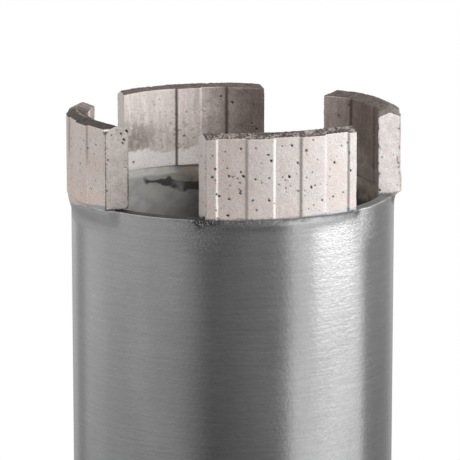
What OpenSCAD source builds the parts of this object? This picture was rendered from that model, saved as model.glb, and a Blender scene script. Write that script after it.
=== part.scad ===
// Diamond core bit: a thin steel barrel, four cutting segments welded round its rim, and a threaded
// hub that closes its other end. It stands on the hub, cutting end up.
// The origin is on the barrel's axis, at the hub's end face, and the water gaps between the segments
// lie along X and Y. All sizes are in millimetres.

/* [Crown] */
// Diameter over the segments
crown_d = 52; // [50:0.5:82]
// How far the left segment was welded out of its even place, in degrees
left_angle = 2.45; // [0:0.05:4]

/* [Segment] */
// Thickness, without the steps of the wave section
segment_t = 3.2; // [2.8:0.1:4.5]
// Length between the flat ends
segment_l = 23.6; // [16:0.1:26]
// Height of the shoulders above the rim
shoulder_h = 12.3; // [6:0.1:16]
// Rise of the roof from the shoulders to the ridge
roof_rise = 0.7; // [0.3:0.05:2]
// Length of one strip of the wave section
strip_l = 4.12; // [3:0.01:6]
// Depth of the step from strip to strip
step_depth = 0.25; // [0.1:0.05:0.5]
// Length of the sloped wall between two strips
step_run = 0.45; // [0.2:0.05:1]
// Chamfer of the foot below the recessed strips, on the outside
foot_chamfer = 0.25; // [0.1:0.05:0.5]
// Depth of the chip broken off the left segment's top corner
chip_depth = 0.4; // [0.1:0.05:0.8]

/* [Barrel] */
// Wall thickness
wall = 2; // [1.5:0.1:3]
// How far the segments stand out past the barrel
outer_relief = 0.95; // [0.4:0.05:1.2]
// Length from the hub's flange to the rim
barrel_l = 300; // [100:5:450]
// Height of the dressed weld below each segment
weld_h = 3.1; // [1:0.1:6]

/* [Hub] */
// Width across the flats of the hexagon
hex_af = 41; // [36:0.5:42]
// Height of the hexagon
hex_h = 24; // [12:0.5:40]
// Thickness of the flange that the barrel stands on
flange_h = 6; // [4:0.5:12]
// Depth of the register inside the barrel
register_h = 8; // [4:0.5:20]
// Nominal diameter of the thread in the bore
thread_d = 31.75; // [20:0.25:33]
// Pitch of the thread
thread_pitch = 3.63; // [2:0.01:4]
// Width of the edge chamfers
edge_chamfer = 1; // [0.3:0.1:1.5]
// Clearance between the register and the barrel, on the radius
register_clearance = 0.05; // [0.02:0.01:0.2]
// Width of the groove that the hub weld fills
groove_w = 1.5; // [0.8:0.1:2]
// How far the hub weld stands out past the barrel
bead_out = 0.5; // [0.2:0.1:1]

/* [Hidden] */
$fn = 96;
// Overlap of tools that cut or join
e = 0.5;

crown_r = crown_d / 2;
segment_in_r = crown_r - segment_t;
sunk_out_r = crown_r - step_depth;
proud_in_r = segment_in_r - step_depth;
foot_r = sunk_out_r - foot_chamfer;
ridge_r = crown_r - segment_t / 2;
barrel_r = crown_r - outer_relief;
barrel_in_r = barrel_r - wall;

flange_z = hex_h + flange_h;
rim_z = flange_z + barrel_l;
ridge_h = shoulder_h + roof_rise;

// A standard thread's wall stands this share of the pitch inside its nominal size
thread_depth_share = 0.5413;
bore_r = thread_d / 2 - thread_depth_share * thread_pitch;

// Which way the chip's break faces: turned from +X, and tilted up
CHIP_TURN = -40;
CHIP_TILT = 25;

// The segments' middles, turned about Z from -Y
FRONT = 45;
RIGHT = 135;
BACK = 225;
LEFT = 315 - left_angle;

// The strips are numbered from the middle one, 0. Even ones sit back outside and stand out inside.
LAST_STRIP = ceil(segment_l / 2 / strip_l - 0.5);
even_strips = [for (k = [-LAST_STRIP:LAST_STRIP]) if (k % 2 == 0) k];
odd_strips = [for (k = [-LAST_STRIP:LAST_STRIP]) if (k % 2 != 0) k];

// A point of the segment's plan: x along the segment, r from the barrel's axis, which is on its +Y side
function on_ring(x, r) = [x, -sqrt(r * r - x * x)];

// The sloped wall at strip_x from the ring of r_mouth down to the ring of r_floor, run on past both
function step_wall(strip_x, lean, r_mouth, r_floor) = let (
    mouth = on_ring(strip_x - lean * step_run / 2, r_mouth),
    floor = on_ring(strip_x + lean * step_run / 2, r_floor)
) [mouth + (mouth - floor) / 2, floor + (floor - mouth) / 2];

// One strip of the wave between its two sloped walls, closed at r_open past its mouth
module strip_wedge(k, r_mouth, r_floor, r_open) {
    left = step_wall((k - 0.5) * strip_l, 1, r_mouth, r_floor);
    right = step_wall((k + 0.5) * strip_l, -1, r_mouth, r_floor);
    beyond = on_ring(k * strip_l, r_floor + (r_floor - r_mouth));
    polygon([[left[0][0], -r_open], left[0], left[1], beyond, right[1], right[0], [right[0][0], -r_open]]);
}

// The segment's plan: a strip of ring with flat parallel ends and a wave of even thickness
module segment_plan() {
    difference() {
        intersection() {
            circle(r = crown_r);
            translate([-segment_l / 2, -crown_r - e]) square([segment_l, crown_r]);
        }
        circle(r = proud_in_r);
        for (k = even_strips) difference() {
            strip_wedge(k, crown_r, sunk_out_r, crown_r + e);
            circle(r = sunk_out_r);
        }
        for (k = odd_strips) intersection() {
            strip_wedge(k, proud_in_r, segment_in_r, 0);
            circle(r = segment_in_r);
        }
    }
}

// The roof and the chamfered foot, as one turned profile that trims the plan's extrusion
module segment_envelope() {
    slope = roof_rise / (segment_t / 2);
    out = crown_r + e;
    in = proud_in_r - e;
    rotate_extrude() polygon([
        [in, 0],
        [foot_r, 0],
        [out, out - foot_r],
        [out, shoulder_h - slope * e],
        [ridge_r, ridge_h],
        [in, ridge_h - slope * (ridge_r - in)]
    ]);
}

module segment_blank() {
    intersection() {
        linear_extrude(height = ridge_h + e) segment_plan();
        segment_envelope();
    }
}

module segment(turn) {
    translate([0, 0, rim_z]) rotate([0, 0, turn]) segment_blank();
}

module segment_front() {
    color("rosybrown") segment(FRONT);
}

module segment_right() {
    color("rosybrown") segment(RIGHT);
}

module segment_back() {
    color("rosybrown") segment(BACK);
}

// The left segment has lost its outer top corner towards the front one, along a flat slanting break
module segment_left() {
    corner = on_ring(segment_l / 2, crown_r);
    color("rosybrown") translate([0, 0, rim_z]) rotate([0, 0, LEFT]) difference() {
        segment_blank();
        translate([corner[0], corner[1], shoulder_h]) rotate([0, 0, CHIP_TURN]) rotate([0, -CHIP_TILT, 0])
            translate([-chip_depth, -segment_t, -segment_t]) cube([segment_t, 2 * segment_t, 2 * segment_t]);
    }
}

// The weld below a segment, dressed to a cone from the barrel's wall to the segment's foot
module weld_shoulder(turn) {
    in_wall = barrel_r - wall / 2;
    rotate([0, 0, turn]) intersection() {
        rotate_extrude() polygon([
            [in_wall, -weld_h],
            [barrel_r, -weld_h],
            [foot_r, 0],
            [in_wall, 0]
        ]);
        translate([-segment_l / 2, -crown_r, -weld_h - e]) cube([segment_l, crown_r, weld_h + 2 * e]);
    }
}

module barrel() {
    color("silver") {
        translate([0, 0, flange_z]) difference() {
            cylinder(h = barrel_l, r = barrel_r);
            translate([0, 0, -e]) cylinder(h = barrel_l + 2 * e, r = barrel_in_r);
        }
        for (turn = [FRONT, RIGHT, BACK, LEFT]) translate([0, 0, rim_z]) weld_shoulder(turn);
    }
}

// The hub's turned body above the hexagon: the grooved flange and the register in the barrel
module hub_flange() {
    register_r = barrel_in_r - register_clearance;
    rotate_extrude() polygon([
        [0, hex_h],
        [barrel_r - edge_chamfer, hex_h],
        [barrel_r, hex_h + edge_chamfer],
        [barrel_r, flange_z - groove_w],
        [barrel_r - groove_w, flange_z],
        [register_r, flange_z],
        [register_r, flange_z + register_h - edge_chamfer],
        [register_r - edge_chamfer, flange_z + register_h],
        [0, flange_z + register_h]
    ]);
}

// The hexagon, with its corners turned off round the end face
module hub_hexagon() {
    corner_r = hex_af / 2 / cos(30);
    face_r = hex_af / 2 - edge_chamfer / 2;
    turned_h = (corner_r + e - face_r) * tan(30);
    intersection() {
        cylinder(h = hex_h + e, r = corner_r, $fn = 6);
        union() {
            cylinder(h = turned_h, r1 = face_r, r2 = corner_r + e);
            translate([0, 0, turned_h]) cylinder(h = hex_h, r = corner_r + e);
        }
    }
}

module hub() {
    color("silver") difference() {
        union() {
            hub_hexagon();
            hub_flange();
        }
        translate([0, 0, -e]) cylinder(h = flange_z + register_h + 2 * e, r = bore_r);
        // Lead-in at the mouth of the thread, and the relief at its inner end
        translate([0, 0, -e]) cylinder(h = thread_d / 2 - bore_r + e, r1 = thread_d / 2 + e, r2 = bore_r);
        translate([0, 0, flange_z + register_h - edge_chamfer])
            cylinder(h = edge_chamfer + e, r1 = bore_r, r2 = bore_r + edge_chamfer + e);
    }
}

// The bead fills the groove round the flange and stands out a little past the barrel
module hub_weld() {
    color("silver") rotate_extrude() polygon([
        [barrel_r - groove_w, flange_z],
        [barrel_r, flange_z - groove_w],
        [barrel_r + bead_out * 0.8, flange_z - groove_w * 0.8],
        [barrel_r + bead_out, flange_z - groove_w * 0.5],
        [barrel_r + bead_out * 0.8, flange_z - groove_w * 0.2],
        [barrel_r, flange_z]
    ]);
}

barrel();
hub();
hub_weld();
segment_front();
segment_right();
segment_back();
segment_left();
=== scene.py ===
import itertools
import math

import bpy
import numpy as np
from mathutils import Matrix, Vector


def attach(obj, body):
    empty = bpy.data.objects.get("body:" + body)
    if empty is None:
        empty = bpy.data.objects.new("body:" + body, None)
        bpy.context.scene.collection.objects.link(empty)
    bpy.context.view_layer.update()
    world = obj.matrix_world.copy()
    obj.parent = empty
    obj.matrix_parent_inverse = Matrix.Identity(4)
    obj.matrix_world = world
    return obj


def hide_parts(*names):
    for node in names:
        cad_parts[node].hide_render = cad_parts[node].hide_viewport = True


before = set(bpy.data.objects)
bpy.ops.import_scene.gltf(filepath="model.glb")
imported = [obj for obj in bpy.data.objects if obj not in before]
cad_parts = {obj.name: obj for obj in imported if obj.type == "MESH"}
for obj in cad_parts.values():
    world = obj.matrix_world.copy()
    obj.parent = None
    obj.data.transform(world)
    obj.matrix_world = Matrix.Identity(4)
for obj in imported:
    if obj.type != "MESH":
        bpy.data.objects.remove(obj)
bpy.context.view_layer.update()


# The hub is turned and milled from one bar of steel. Its hexagon takes the spanner, its bore is
# threaded for the machine's spindle, and its flange and register carry and centre the barrel.
# It is sprayed with the barrel, apart from the end face and the thread, which stay bare.
MM = 0.001
HEX_FLATS = 41.0
HEX_HEIGHT = 24.0
HEX_FACE_RADIUS = 20.0
HEX_CORNER_EASE = 0.25
FLANGE_TOP = 30.0
REGISTER_TOP = 38.0
TUBE_RADIUS = 25.05
TUBE_BORE_RADIUS = 23.05
REGISTER_RADIUS = 23.0
EDGE_CHAMFER = 1.0
WELD_GROOVE = 1.5
THREAD_ROOT_RADIUS = 15.875
THREAD_CREST_RADIUS = 13.91
THREAD_PITCH = 3.63
THREAD_CREST_SHARE = 0.25
THREAD_FLANK_SHARE = 0.3125
THREAD_ROW_PITCH = 0.24
FACE_EASE = 0.06
MOUTH_EASE = 0.15
SHANK_EASE = 0.2
HUB_STEPS = 240

LACQUER_GREY = (0.47, 0.47, 0.473, 1)
LACQUER_DARK = (0.42, 0.42, 0.424, 1)
BARE_STEEL = (0.42, 0.41, 0.4, 1)
STAINED_STEEL = (0.2, 0.18, 0.165, 1)


def unevenness(points, cell, seed):
    """Smooth unevenness from -1 to 1 at each point, with its swellings about one cell apart."""
    draw = np.random.default_rng(seed)
    order = draw.permutation(1024)
    height = draw.uniform(-1, 1, 1024)
    scaled = np.asarray(points, float) / cell
    corner = np.floor(scaled).astype(int)
    part = scaled - corner
    part = part * part * (3 - 2 * part)
    total = np.zeros(len(scaled))
    for step in itertools.product((0, 1), repeat=3):
        x, y, z = (corner + step).T
        spot = order[(order[(order[x & 1023] + y) & 1023] + z) & 1023]
        total += height[spot] * np.prod(np.where(step, part, 1 - part), axis=1)
    return total


def grid_faces(rows, steps, rows_close, steps_close):
    """The four-sided faces of a grid of points, row after row."""
    row, step = np.meshgrid(
        np.arange(rows if rows_close else rows - 1),
        np.arange(steps if steps_close else steps - 1),
        indexing="ij",
    )
    next_row, next_step = (row + 1) % rows, (step + 1) % steps
    corners = (
        row * steps + step,
        row * steps + next_step,
        next_row * steps + next_step,
        next_row * steps + step,
    )
    return np.stack(corners, axis=-1).reshape(-1, 4)


def new_piece(name, points, faces, finishes, crease=35):
    """A piece from points in millimetres, smooth but for creases sharper than that many degrees."""
    mesh = bpy.data.meshes.new(name)
    mesh.from_pydata((points * MM).tolist(), [], faces.tolist())
    mesh.shade_smooth()
    mesh.set_sharp_from_angle(angle=math.radians(crease))
    for finish in finishes:
        mesh.materials.append(finish)
    piece = bpy.data.objects.new(name, mesh)
    bpy.context.scene.collection.objects.link(piece)
    return piece


def turned_points(angle, radius, height):
    """Points round the axis from a table of radii and heights, one row for each ring."""
    return np.stack([radius * np.cos(angle), radius * np.sin(angle), height], axis=-1).reshape(-1, 3)


def node(tree, kind, inputs=(), **settings):
    """One shader node. An input that is another node's output is linked, any other is set."""
    made = tree.nodes.new("ShaderNode" + kind)
    for name, value in settings.items():
        setattr(made, name, value)
    for name, value in dict(inputs).items():
        if isinstance(value, bpy.types.NodeSocket):
            tree.links.new(value, made.inputs[name])
        else:
            made.inputs[name].default_value = value
    return made


def place_in_mm(tree):
    """The place on the piece, in millimetres."""
    place = node(tree, "TexCoord").outputs["Object"]
    return node(tree, "VectorMath", {0: place, "Scale": 1 / MM}, operation="SCALE").outputs[0]


def new_finish(name, **settings):
    """A material with its shader's own settings, its node tree and its places in millimetres."""
    material = bpy.data.materials.new(name)
    material.use_nodes = True
    tree = material.node_tree
    shader = tree.nodes["Principled BSDF"]
    for socket, value in settings.items():
        shader.inputs[socket.replace("_", " ")].default_value = value
    return material, tree, shader, place_in_mm(tree)


def cloud(tree, place, cell, detail=2.0, stretch=(1, 1, 1), roughness=0.5):
    """Cloudy noise from 0 to 1 with features about cell millimetres across."""
    scaled = node(tree, "VectorMath", {0: place, 1: [s / cell for s in stretch]}, operation="MULTIPLY")
    wanted = {"Vector": scaled.outputs[0], "Scale": 1.0, "Detail": detail, "Roughness": roughness}
    return node(tree, "TexNoise", wanted).outputs["Fac"]


def fade(tree, value, low, high, start=0.0, end=1.0):
    """A soft passage from start at low to end at high."""
    wanted = {"Value": value, "From Min": low, "From Max": high, "To Min": start, "To Max": end}
    return node(tree, "MapRange", wanted, interpolation_type="SMOOTHSTEP").outputs["Result"]


def worked_out(tree, operation, *values):
    """One step of arithmetic on the values."""
    return node(tree, "Math", dict(enumerate(values)), operation=operation).outputs[0]


def times(tree, one, other):
    return worked_out(tree, "MULTIPLY", one, other)


def plus(tree, one, other):
    return worked_out(tree, "ADD", one, other)


def minus(tree, one, other):
    return worked_out(tree, "SUBTRACT", one, other)


def larger(tree, one, other):
    return worked_out(tree, "MAXIMUM", one, other)


def tint(tree, share, plain, tinted):
    """A colour that passes from plain to tinted as share goes from 0 to 1."""
    return node(tree, "Mix", {0: share, 6: plain, 7: tinted}, data_type="RGBA").outputs[2]


def brightened(tree, colour, share):
    """A colour made lighter or darker by a factor."""
    return node(tree, "VectorMath", {0: colour, "Scale": share}, operation="SCALE").outputs[0]


def written(tree, name):
    """A value that the mesh carries for each of its points."""
    return node(tree, "Attribute", attribute_name=name).outputs["Fac"]


def relief(tree, shader, *layers):
    """Lays bumps on a finish. Each layer is a height from 0 to 1 and its depth in millimetres."""
    normal = None
    for height, depth in layers:
        wanted = {"Height": height, "Strength": 1.0, "Distance": depth * MM}
        if normal is not None:
            wanted["Normal"] = normal
        normal = node(tree, "Bump", wanted).outputs[0]
    tree.links.new(normal, shader.inputs["Normal"])


def lacquer(name):
    """Silver-grey metallic lacquer over turned steel: fine marks round the axis and orange peel.

    It is gritty where the mesh's values say so.
    """
    material, tree, shader, place = new_finish(name, Metallic=1.0, IOR=1.5, Coat_Weight=0.0)
    marks = cloud(tree, place, 0.4, 3.0, (0.07, 0.07, 1.0), 0.65)
    lines = cloud(tree, place, 0.3, 2.0, (0.006, 0.006, 1.0), 0.6)
    peel = cloud(tree, place, 0.55, 2.0)
    flake = cloud(tree, place, 0.2, 1.0)
    gritty = written(tree, "grit")
    grains = cloud(tree, place, 0.26, 4.0, (0.8, 0.8, 1.2), 0.7)
    grit = times(tree, grains, gritty)
    wash = cloud(tree, place, 9.0, 3.0, (1, 1, 0.35))
    grey = tint(tree, fade(tree, wash, 0.35, 0.7), LACQUER_GREY, LACQUER_DARK)
    speckle = times(tree, fade(tree, grains, 0.38, 0.64, -0.2, 0.14), gritty)
    shade = plus(tree, fade(tree, flake, 0.25, 0.75, 0.96, 1.04), speckle)
    streak = times(tree, fade(tree, marks, 0.3, 0.7, 0.97, 1.03), fade(tree, lines, 0.3, 0.7, 0.985, 1.015))
    tree.links.new(brightened(tree, grey, times(tree, shade, streak)), shader.inputs["Base Color"])
    tree.links.new(fade(tree, peel, 0.2, 0.8, 0.18, 0.24), shader.inputs["Roughness"])
    relief(tree, shader, (peel, 0.014), (marks, 0.009), (lines, 0.003), (grit, 0.055))
    return material


def bare_steel(name):
    """Turned steel without lacquer, dulled by oil and handling."""
    material, tree, shader, place = new_finish(name, Metallic=1.0)
    stain_and_shade = cloud(tree, place, 4.0, 4.0)
    marks = cloud(tree, place, 0.3, 2.0, (1, 1, 0.05))
    colour = tint(tree, fade(tree, stain_and_shade, 0.4, 0.72), BARE_STEEL, STAINED_STEEL)
    tree.links.new(colour, shader.inputs["Base Color"])
    tree.links.new(fade(tree, stain_and_shade, 0.3, 0.7, 0.28, 0.5), shader.inputs["Roughness"])
    relief(tree, shader, (marks, 0.008))
    return material


def hexagon_radius(angle, flats):
    """How far out a hexagon with its corner on +X reaches at each angle."""
    from_flat = (angle + math.pi / 3) % (math.pi / 3) - math.pi / 6
    return np.minimum(flats / 2 / np.cos(from_flat), flats / 2 / math.cos(math.pi / 6) - HEX_CORNER_EASE)


def thread_radius(angle, height):
    """The wall of a right-handed 60 degree thread in the bore."""
    turn = (height / THREAD_PITCH - angle / (2 * math.pi)) % 1
    from_crest = np.abs(turn - 0.5) - THREAD_CREST_SHARE / 2
    depth = np.clip(from_crest / THREAD_FLANK_SHARE, 0, 1)
    return THREAD_CREST_RADIUS + depth * (THREAD_ROOT_RADIUS - THREAD_CREST_RADIUS)


hub_angle = np.arange(HUB_STEPS) * 2 * math.pi / HUB_STEPS
hex_radius = hexagon_radius(hub_angle, HEX_FLATS)
flat = np.ones(HUB_STEPS)
hub_rings = []
hub_bare = []


def hub_ring(radius, height, bare=False):
    """One ring of the hub's outline. The steel from a bare ring to the next one has no lacquer."""
    hub_rings.append((radius * flat, height * flat))
    hub_bare.append(bare)


# End face, the hexagon with its corners turned off, and the shoulder under the flange
hub_ring(THREAD_ROOT_RADIUS + MOUTH_EASE, 0.0, True)
for radius in np.linspace(THREAD_ROOT_RADIUS + 0.8, HEX_FACE_RADIUS - MOUTH_EASE, 6):
    hub_ring(radius, 0.0, True)
hub_ring(HEX_FACE_RADIUS, FACE_EASE)
corner_height = (hex_radius - HEX_FACE_RADIUS) * math.tan(math.pi / 6)
for share in (0.3, 0.65, 0.98, 1.0, 1.02):
    hub_ring(HEX_FACE_RADIUS + (hex_radius - HEX_FACE_RADIUS) * min(share, 1), corner_height * share)
for height in np.linspace(4.0, HEX_HEIGHT - SHANK_EASE, 8):
    hub_ring(hex_radius, height)
hub_ring(hex_radius + SHANK_EASE, HEX_HEIGHT)
for share in (0.25, 0.6, 1.0):
    hub_ring(hex_radius + (TUBE_RADIUS - EDGE_CHAMFER - 0.1 - hex_radius) * share, HEX_HEIGHT)

# Flange with its chamfer and the groove for the weld, then the register inside the barrel
hub_ring(TUBE_RADIUS - EDGE_CHAMFER, HEX_HEIGHT + 0.04)
hub_ring(TUBE_RADIUS - FACE_EASE, HEX_HEIGHT + EDGE_CHAMFER - FACE_EASE)
hub_ring(TUBE_RADIUS, HEX_HEIGHT + EDGE_CHAMFER + 0.08)
hub_ring(TUBE_RADIUS, FLANGE_TOP - WELD_GROOVE - 0.05)
hub_ring(TUBE_RADIUS - 0.05, FLANGE_TOP - WELD_GROOVE)
hub_ring(TUBE_RADIUS - WELD_GROOVE, FLANGE_TOP, True)
hub_ring(REGISTER_RADIUS + 0.03, FLANGE_TOP, True)
hub_ring(REGISTER_RADIUS, FLANGE_TOP + 0.1, True)
hub_ring(REGISTER_RADIUS, REGISTER_TOP - EDGE_CHAMFER, True)
hub_ring(REGISTER_RADIUS - EDGE_CHAMFER, REGISTER_TOP, True)
for radius in np.linspace(REGISTER_RADIUS - EDGE_CHAMFER - 0.2, THREAD_CREST_RADIUS + EDGE_CHAMFER + 0.2, 5):
    hub_ring(radius, REGISTER_TOP, True)

# The thread, cut down the bore, with a relief at its inner end and a lead-in at its mouth
for height in np.arange(REGISTER_TOP - 0.02, 0.05, -THREAD_ROW_PITCH):
    relief_radius = THREAD_CREST_RADIUS + height - (REGISTER_TOP - EDGE_CHAMFER)
    lead_radius = THREAD_ROOT_RADIUS - height
    hub_ring(np.maximum(thread_radius(hub_angle, height), max(relief_radius, lead_radius)), height, True)

hub_radius, hub_height = (np.array(values) for values in zip(*hub_rings))
hub = new_piece(
    "hub_body",
    turned_points(hub_angle, hub_radius, hub_height),
    grid_faces(len(hub_rings), HUB_STEPS, True, True),
    [lacquer("hub_lacquer"), bare_steel("hub_steel")],
    crease=28,
)
hub.data.polygons.foreach_set("material_index", np.repeat(hub_bare, HUB_STEPS).astype(int))
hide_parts("hub")
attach(hub, "root")


# The weld that joins the barrel to the flange is one run of bead, laid round the groove with the
# work turning under the torch, so that its ripples lie side by side. It is lacquered over.
BEAD_STEPS = 720
BEAD_RINGS = 14
BEAD_OUT = 0.5
BEAD_SWELL = 0.05
BEAD_SINK = 0.12
HEEL_IN = 0.6
HEEL_DOWN = 0.55
RIPPLE_LENGTH = 1.1
RIPPLE_DEPTH = 0.07

bead_angle = np.arange(BEAD_STEPS) * 2 * math.pi / BEAD_STEPS
bead_turn = np.linspace(-0.5, 0.5, BEAD_RINGS)[:, None] * math.pi
ripple_count = round(2 * math.pi * TUBE_RADIUS / RIPPLE_LENGTH)
ripple_lag = 0.9 * np.sin(bead_turn) ** 2
ripple = np.abs(np.sin(bead_angle * ripple_count / 2 + ripple_lag))
spread = np.cos(bead_turn) ** 0.7
swell = unevenness(turned_points(bead_angle, TUBE_RADIUS + 0 * ripple, 8 * bead_turn + 0 * ripple), 3.0, 11)
sunk_bead = RIPPLE_DEPTH * (1 - ripple) + BEAD_SWELL * (1 - swell.reshape(ripple.shape))
bead_out = np.maximum((BEAD_OUT - sunk_bead) * spread, 0)
bead_radius = TUBE_RADIUS - BEAD_SINK * (1 - spread) + bead_out
bead_height = FLANGE_TOP - WELD_GROOVE / 2 + WELD_GROOVE / 2 * np.sin(bead_turn) + 0 * ripple
heel_radius = np.full(BEAD_STEPS, TUBE_RADIUS - HEEL_IN)
heel_height = np.full(BEAD_STEPS, FLANGE_TOP - HEEL_DOWN)
weld = new_piece(
    "hub_bead",
    turned_points(bead_angle, np.vstack([bead_radius, heel_radius]), np.vstack([bead_height, heel_height])),
    grid_faces(BEAD_RINGS + 1, BEAD_STEPS, True, True),
    [lacquer("bead_lacquer")],
    crease=60,
)
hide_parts("hub_weld")
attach(weld, "root")


# The barrel is a drawn steel tube, turned outside. The segments are laser welded on its rim, each
# weld is dressed to a small shoulder, and the lot is sprayed silver-grey with the crown masked off.
# Inside it is heat tinted and scorched below the welds, and painted shade darkens the overspray everywhere
# but at the far left, and more further down.
RIM = 330.0
CROWN_RADIUS = 26.0
SEGMENT_LENGTH = 23.6
SEGMENT_TURNS = {"front": 45.0, "right": 135.0, "back": 225.0, "left": 312.55}
WELD_FOOT_RADIUS = 25.5
WELD_HEIGHT = 3.1
SLOT_FILLET = 0.75
FILLET_ANGLE = -78
FILLET_REACH = 12
PLAIN_TOP = 318.0
BARREL_STEPS = 800

LEFT_LEAN = 0.38
LEFT_FOOT_REACH = 0.76
# Tables of a place and a value there: the masking line's depth along the left segment, and how much
# weld spatter and grit lies at each angle round the rim, in degrees
MASK_LINE = ((-23.6, 1.3), (-1.0, 1.05), (7.0, 0.05), (9.0, 0.0))
SPATTER = (
    (-90, 0.1), (-80, 0.35), (-76, 1.0), (-70, 0.95), (-65, 0.75), (-46, 0.68), (-36, 0.4), (-28, 0.1),
    (6, 0.1), (13, 0.8), (20, 0.85), (28, 0.2), (222, 0.1), (228, 0.2), (248, 0.2), (254, 0.1), (270, 0.1),
)
GRIT = (
    (-90, 0.15), (-82, 0.3), (-76, 1.0), (-68, 0.8), (-56, 0.15), (-38, 0.1), (-28, 0.4), (-18, 1.0),
    (-6, 0.9), (4, 0.3), (14, 0.4), (24, 0.15), (270, 0.15),
)
# Places inside the barrel, from its axis: where the scorched band starts and breaks, the stretch that
# is tanned beside the right segment, and the patch that is browned at the back
SCORCH_START = 10.0
SCORCH_BREAK = 15.0
TANNED = (12.5, 16.5)
BROWNED = (14.4, 15.6)

HEAT_BROWN = (0.46, 0.31, 0.21, 1)
HEAT_OLIVE = (0.36, 0.33, 0.24, 1)
SCORCH = (0.022, 0.02, 0.019, 1)
OVERSPRAY = (0.66, 0.66, 0.648, 1)
# Painted shade inside the bore
INSIDE_SHADE = (0.16, 0.157, 0.155, 1)
OVERSPRAY_BROWN = (0.4, 0.34, 0.3, 1)
OVERSPRAY_EDGE = (0.92, 0.9, 0.86, 1)
WELD_GRIT = (0.05, 0.048, 0.046, 1)
UNSPRAYED = (0.66, 0.56, 0.51, 1)
WELD_BRIGHT = (0.6, 0.6, 0.6, 1)
# Painted shade on the rim's top
RIM_SHADE = (0.02, 0.0195, 0.019, 1)
RIM_GREY = (0.17, 0.172, 0.175, 1)
HEAT_TAN = (0.44, 0.36, 0.23, 1)
HEAT_RUST = (0.2, 0.09, 0.055, 1)
SPRAY_GREY = (0.42, 0.42, 0.42, 1)

barrel_angle = np.arange(BARREL_STEPS) * 2 * math.pi / BARREL_STEPS


def beside_segment(angle, radius):
    """How far each place on a ring is outside the nearest segment's flat ends, in mm."""
    nearest = np.full(np.shape(angle), np.inf)
    for turn in SEGMENT_TURNS.values():
        middle = math.radians(turn) - math.pi / 2
        away = (angle - middle + math.pi) % (2 * math.pi) - math.pi
        outside = np.where(np.abs(away) < 1.2, np.abs(np.sin(away)) * radius - SEGMENT_LENGTH / 2, np.inf)
        nearest = np.minimum(nearest, outside)
    return nearest


def smooth(value, low, high):
    """A soft passage from 0 at low to 1 at high."""
    share = np.clip((value - low) / (high - low), 0, 1)
    return share * share * (3 - 2 * share)


def round_rim(angle, table):
    """A table's value at each angle round the rim."""
    return np.interp((np.degrees(angle) + 90) % 360 - 90, *zip(*table))


def write_values(mesh, values):
    """Values for each point of a mesh, for its finish to read by name."""
    for name, value in values.items():
        mesh.attributes.new(name, "FLOAT", "POINT").data.foreach_set("value", value.astype(np.float32))


outside_end = beside_segment(barrel_angle, TUBE_RADIUS)
under_segment = 1 - smooth(outside_end, -0.3, 1.6)
fillet_share = np.clip(SLOT_FILLET - outside_end, 0, SLOT_FILLET)
slot_fillet = SLOT_FILLET - np.sqrt(SLOT_FILLET**2 - fillet_share**2)
slot_fillet *= 1 - smooth(-outside_end, 0.03, 0.3)
from_gap = (np.degrees(barrel_angle) - FILLET_ANGLE + 180) % 360 - 180
slot_fillet *= np.abs(from_gap) < FILLET_REACH
from_left = (np.degrees(barrel_angle) - SEGMENT_TURNS["left"] + 90 + 180) % 360 - 180
on_left = 1 - smooth(np.abs(from_left), 30, 36)
left_along = TUBE_RADIUS * np.sin(np.radians(from_left))
left_reach = LEFT_FOOT_REACH - LEFT_LEAN * (0.5 - left_along / SEGMENT_LENGTH)
shoulder_reach = WELD_FOOT_RADIUS - TUBE_RADIUS + (left_reach - WELD_FOOT_RADIUS + TUBE_RADIUS) * on_left
unsprayed_depth = np.interp(left_along, *zip(*MASK_LINE)) * on_left * under_segment

barrel_rings = []


def barrel_ring(radius, height, flare=0.0, lift=0.0, rough=0.0):
    """One ring: its flare out to the weld's foot and its lift up the fillets are shares from 0 to 1."""
    reach = radius + shoulder_reach * flare * under_segment
    rise = height + slot_fillet * lift
    ring = turned_points(barrel_angle, reach[None, :], rise[None, :])
    bumps = unevenness(ring, 0.45, 21) * rough * (0.35 + 0.65 * under_segment)
    barrel_rings.append((reach + bumps, rise + 0.3 * bumps))


# Outside, from the flange up to the rim, with the dressed weld shoulders under the segments
for height in (*np.linspace(FLANGE_TOP, PLAIN_TOP, 13), *np.linspace(PLAIN_TOP + 1.5, RIM - WELD_HEIGHT, 5)):
    barrel_ring(TUBE_RADIUS, height)
for up in np.arange(0.2, WELD_HEIGHT - 0.1, 0.19):
    share = up / WELD_HEIGHT
    barrel_ring(
        TUBE_RADIUS,
        RIM - WELD_HEIGHT + up,
        share**4 + (smooth(share, 0.12, 0.82) - share**4) * on_left,
        smooth(share, 0.7, 1),
        0.025 * smooth(share, 0.7, 0.95),
    )
barrel_ring(TUBE_RADIUS - 0.01, RIM - 0.07, 1.0, 1.0, 0.02)
barrel_ring(TUBE_RADIUS - 0.06, RIM - 0.01, 1.0, 1.0, 0.02)

# Over the rim and down inside, to the flange
for radius in np.linspace(TUBE_RADIUS - 0.25, TUBE_BORE_RADIUS + 0.2, 9):
    barrel_ring(radius, RIM, 0.0, 1.0, 0.02)
barrel_ring(TUBE_BORE_RADIUS + 0.08, RIM - 0.02, 0.0, 1.0, 0.02)
barrel_ring(TUBE_BORE_RADIUS, RIM - 0.1, 0.0, 1.0, 0.03)
for down in np.arange(0.3, 8.0, 0.3):
    rough = 0.03 * (1 - smooth(down, 0.4, 2))
    barrel_ring(TUBE_BORE_RADIUS, RIM - down, 0.0, 1 - smooth(down, 0, 1.2), rough)
for height in np.linspace(PLAIN_TOP + 2, FLANGE_TOP, 13):
    barrel_ring(TUBE_BORE_RADIUS, height)


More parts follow.
